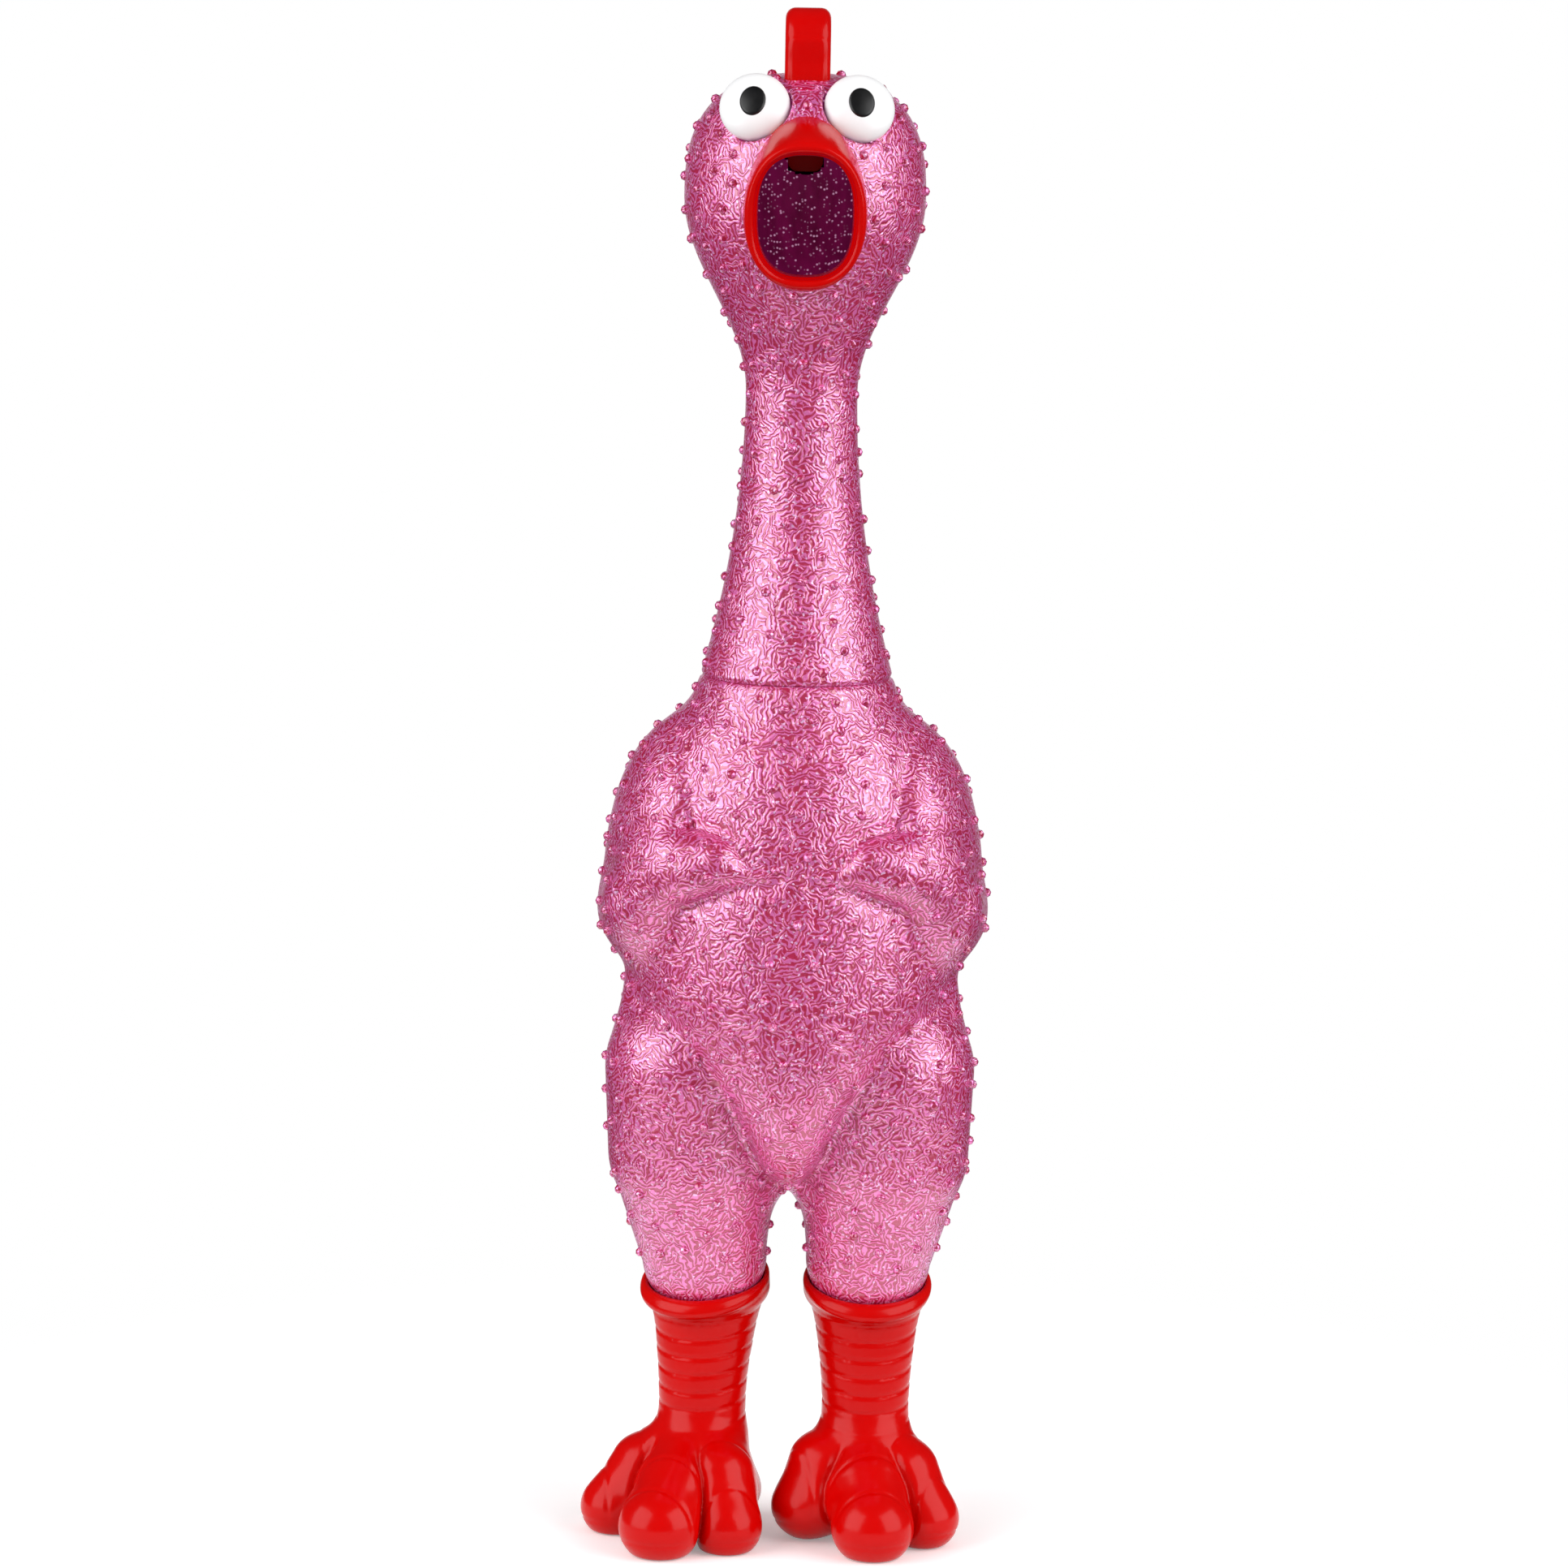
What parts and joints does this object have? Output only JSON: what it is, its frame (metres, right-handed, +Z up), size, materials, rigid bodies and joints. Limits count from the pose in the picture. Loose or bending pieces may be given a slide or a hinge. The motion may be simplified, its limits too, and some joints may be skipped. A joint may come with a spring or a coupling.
{
  "type": "squeaking rubber chicken",
  "caption": "Upright hollow rubber chicken toy with a gaping beak, folded wings and red boots; its neck, head and feet bend and a reed in its neck squawks when it is squeezed.",
  "frame": {"origin": "on the floor, under the middle of the object's width and depth", "axes": "+Z up, -Y the way the chicken faces, +X its own left side"},
  "size_m": [0.1024, 0.087, 0.4],
  "materials": {
    "pink_vinyl": "gloss",
    "red_vinyl": "gloss",
    "white_plastic": "gloss",
    "black_plastic": "gloss",
    "pale_plastic": "satin",
    "reed_film": "satin"
  },
  "bodies": {
    "torso": {"torso_shell": "pink_vinyl"},
    "neck": {"neck_shell": "pink_vinyl", "squeaker_barrel": "pale_plastic", "squeaker_cap": "pale_plastic", "tone_board": "pale_plastic", "reed_wedge": "pale_plastic"},
    "reed_strip": {"reed": "reed_film"},
    "head": {"head_shell": "pink_vinyl", "beak": "red_vinyl", "comb": "red_vinyl", "left_eye": "white_plastic", "right_eye": "white_plastic", "left_pupil": "black_plastic", "right_pupil": "black_plastic"},
    "left_foot": {"left_boot": "red_vinyl"},
    "right_foot": {"right_boot": "red_vinyl"}
  },
  "joints": [
    {"name": "neck_bend", "type": "hinge", "parent": "torso", "child": "neck", "pos_m": [0.00207, 0.00049, 0.2365], "axis": [1, 0, 0], "range_deg": [-26, 26], "stiffness_Nm_per_rad": 1.2},
    {"name": "head_tilt", "type": "hinge", "parent": "neck", "child": "head", "pos_m": [0.00207, 0.00049, 0.308], "axis": [0, 1, 0], "range_deg": [-25, 25], "stiffness_Nm_per_rad": 0.5},
    {"name": "left_ankle", "type": "hinge", "parent": "torso", "child": "left_foot", "pos_m": [0.02363, 0.00049, 0.0745], "axis": [1, 0, 0], "range_deg": [-25, 12], "stiffness_Nm_per_rad": 1.4},
    {"name": "right_ankle", "type": "hinge", "parent": "torso", "child": "right_foot", "pos_m": [-0.0195, 0.00049, 0.0745], "axis": [1, 0, 0], "range_deg": [-25, 12], "stiffness_Nm_per_rad": 1.4},
    {"name": "reed_flutter", "type": "hinge", "parent": "neck", "child": "reed_strip", "pos_m": [0.00207, 0.00104, 0.27218], "axis": [1, 0, 0], "range_deg": [-0.8, 6], "stiffness_Nm_per_rad": 0.0004}
  ]
}
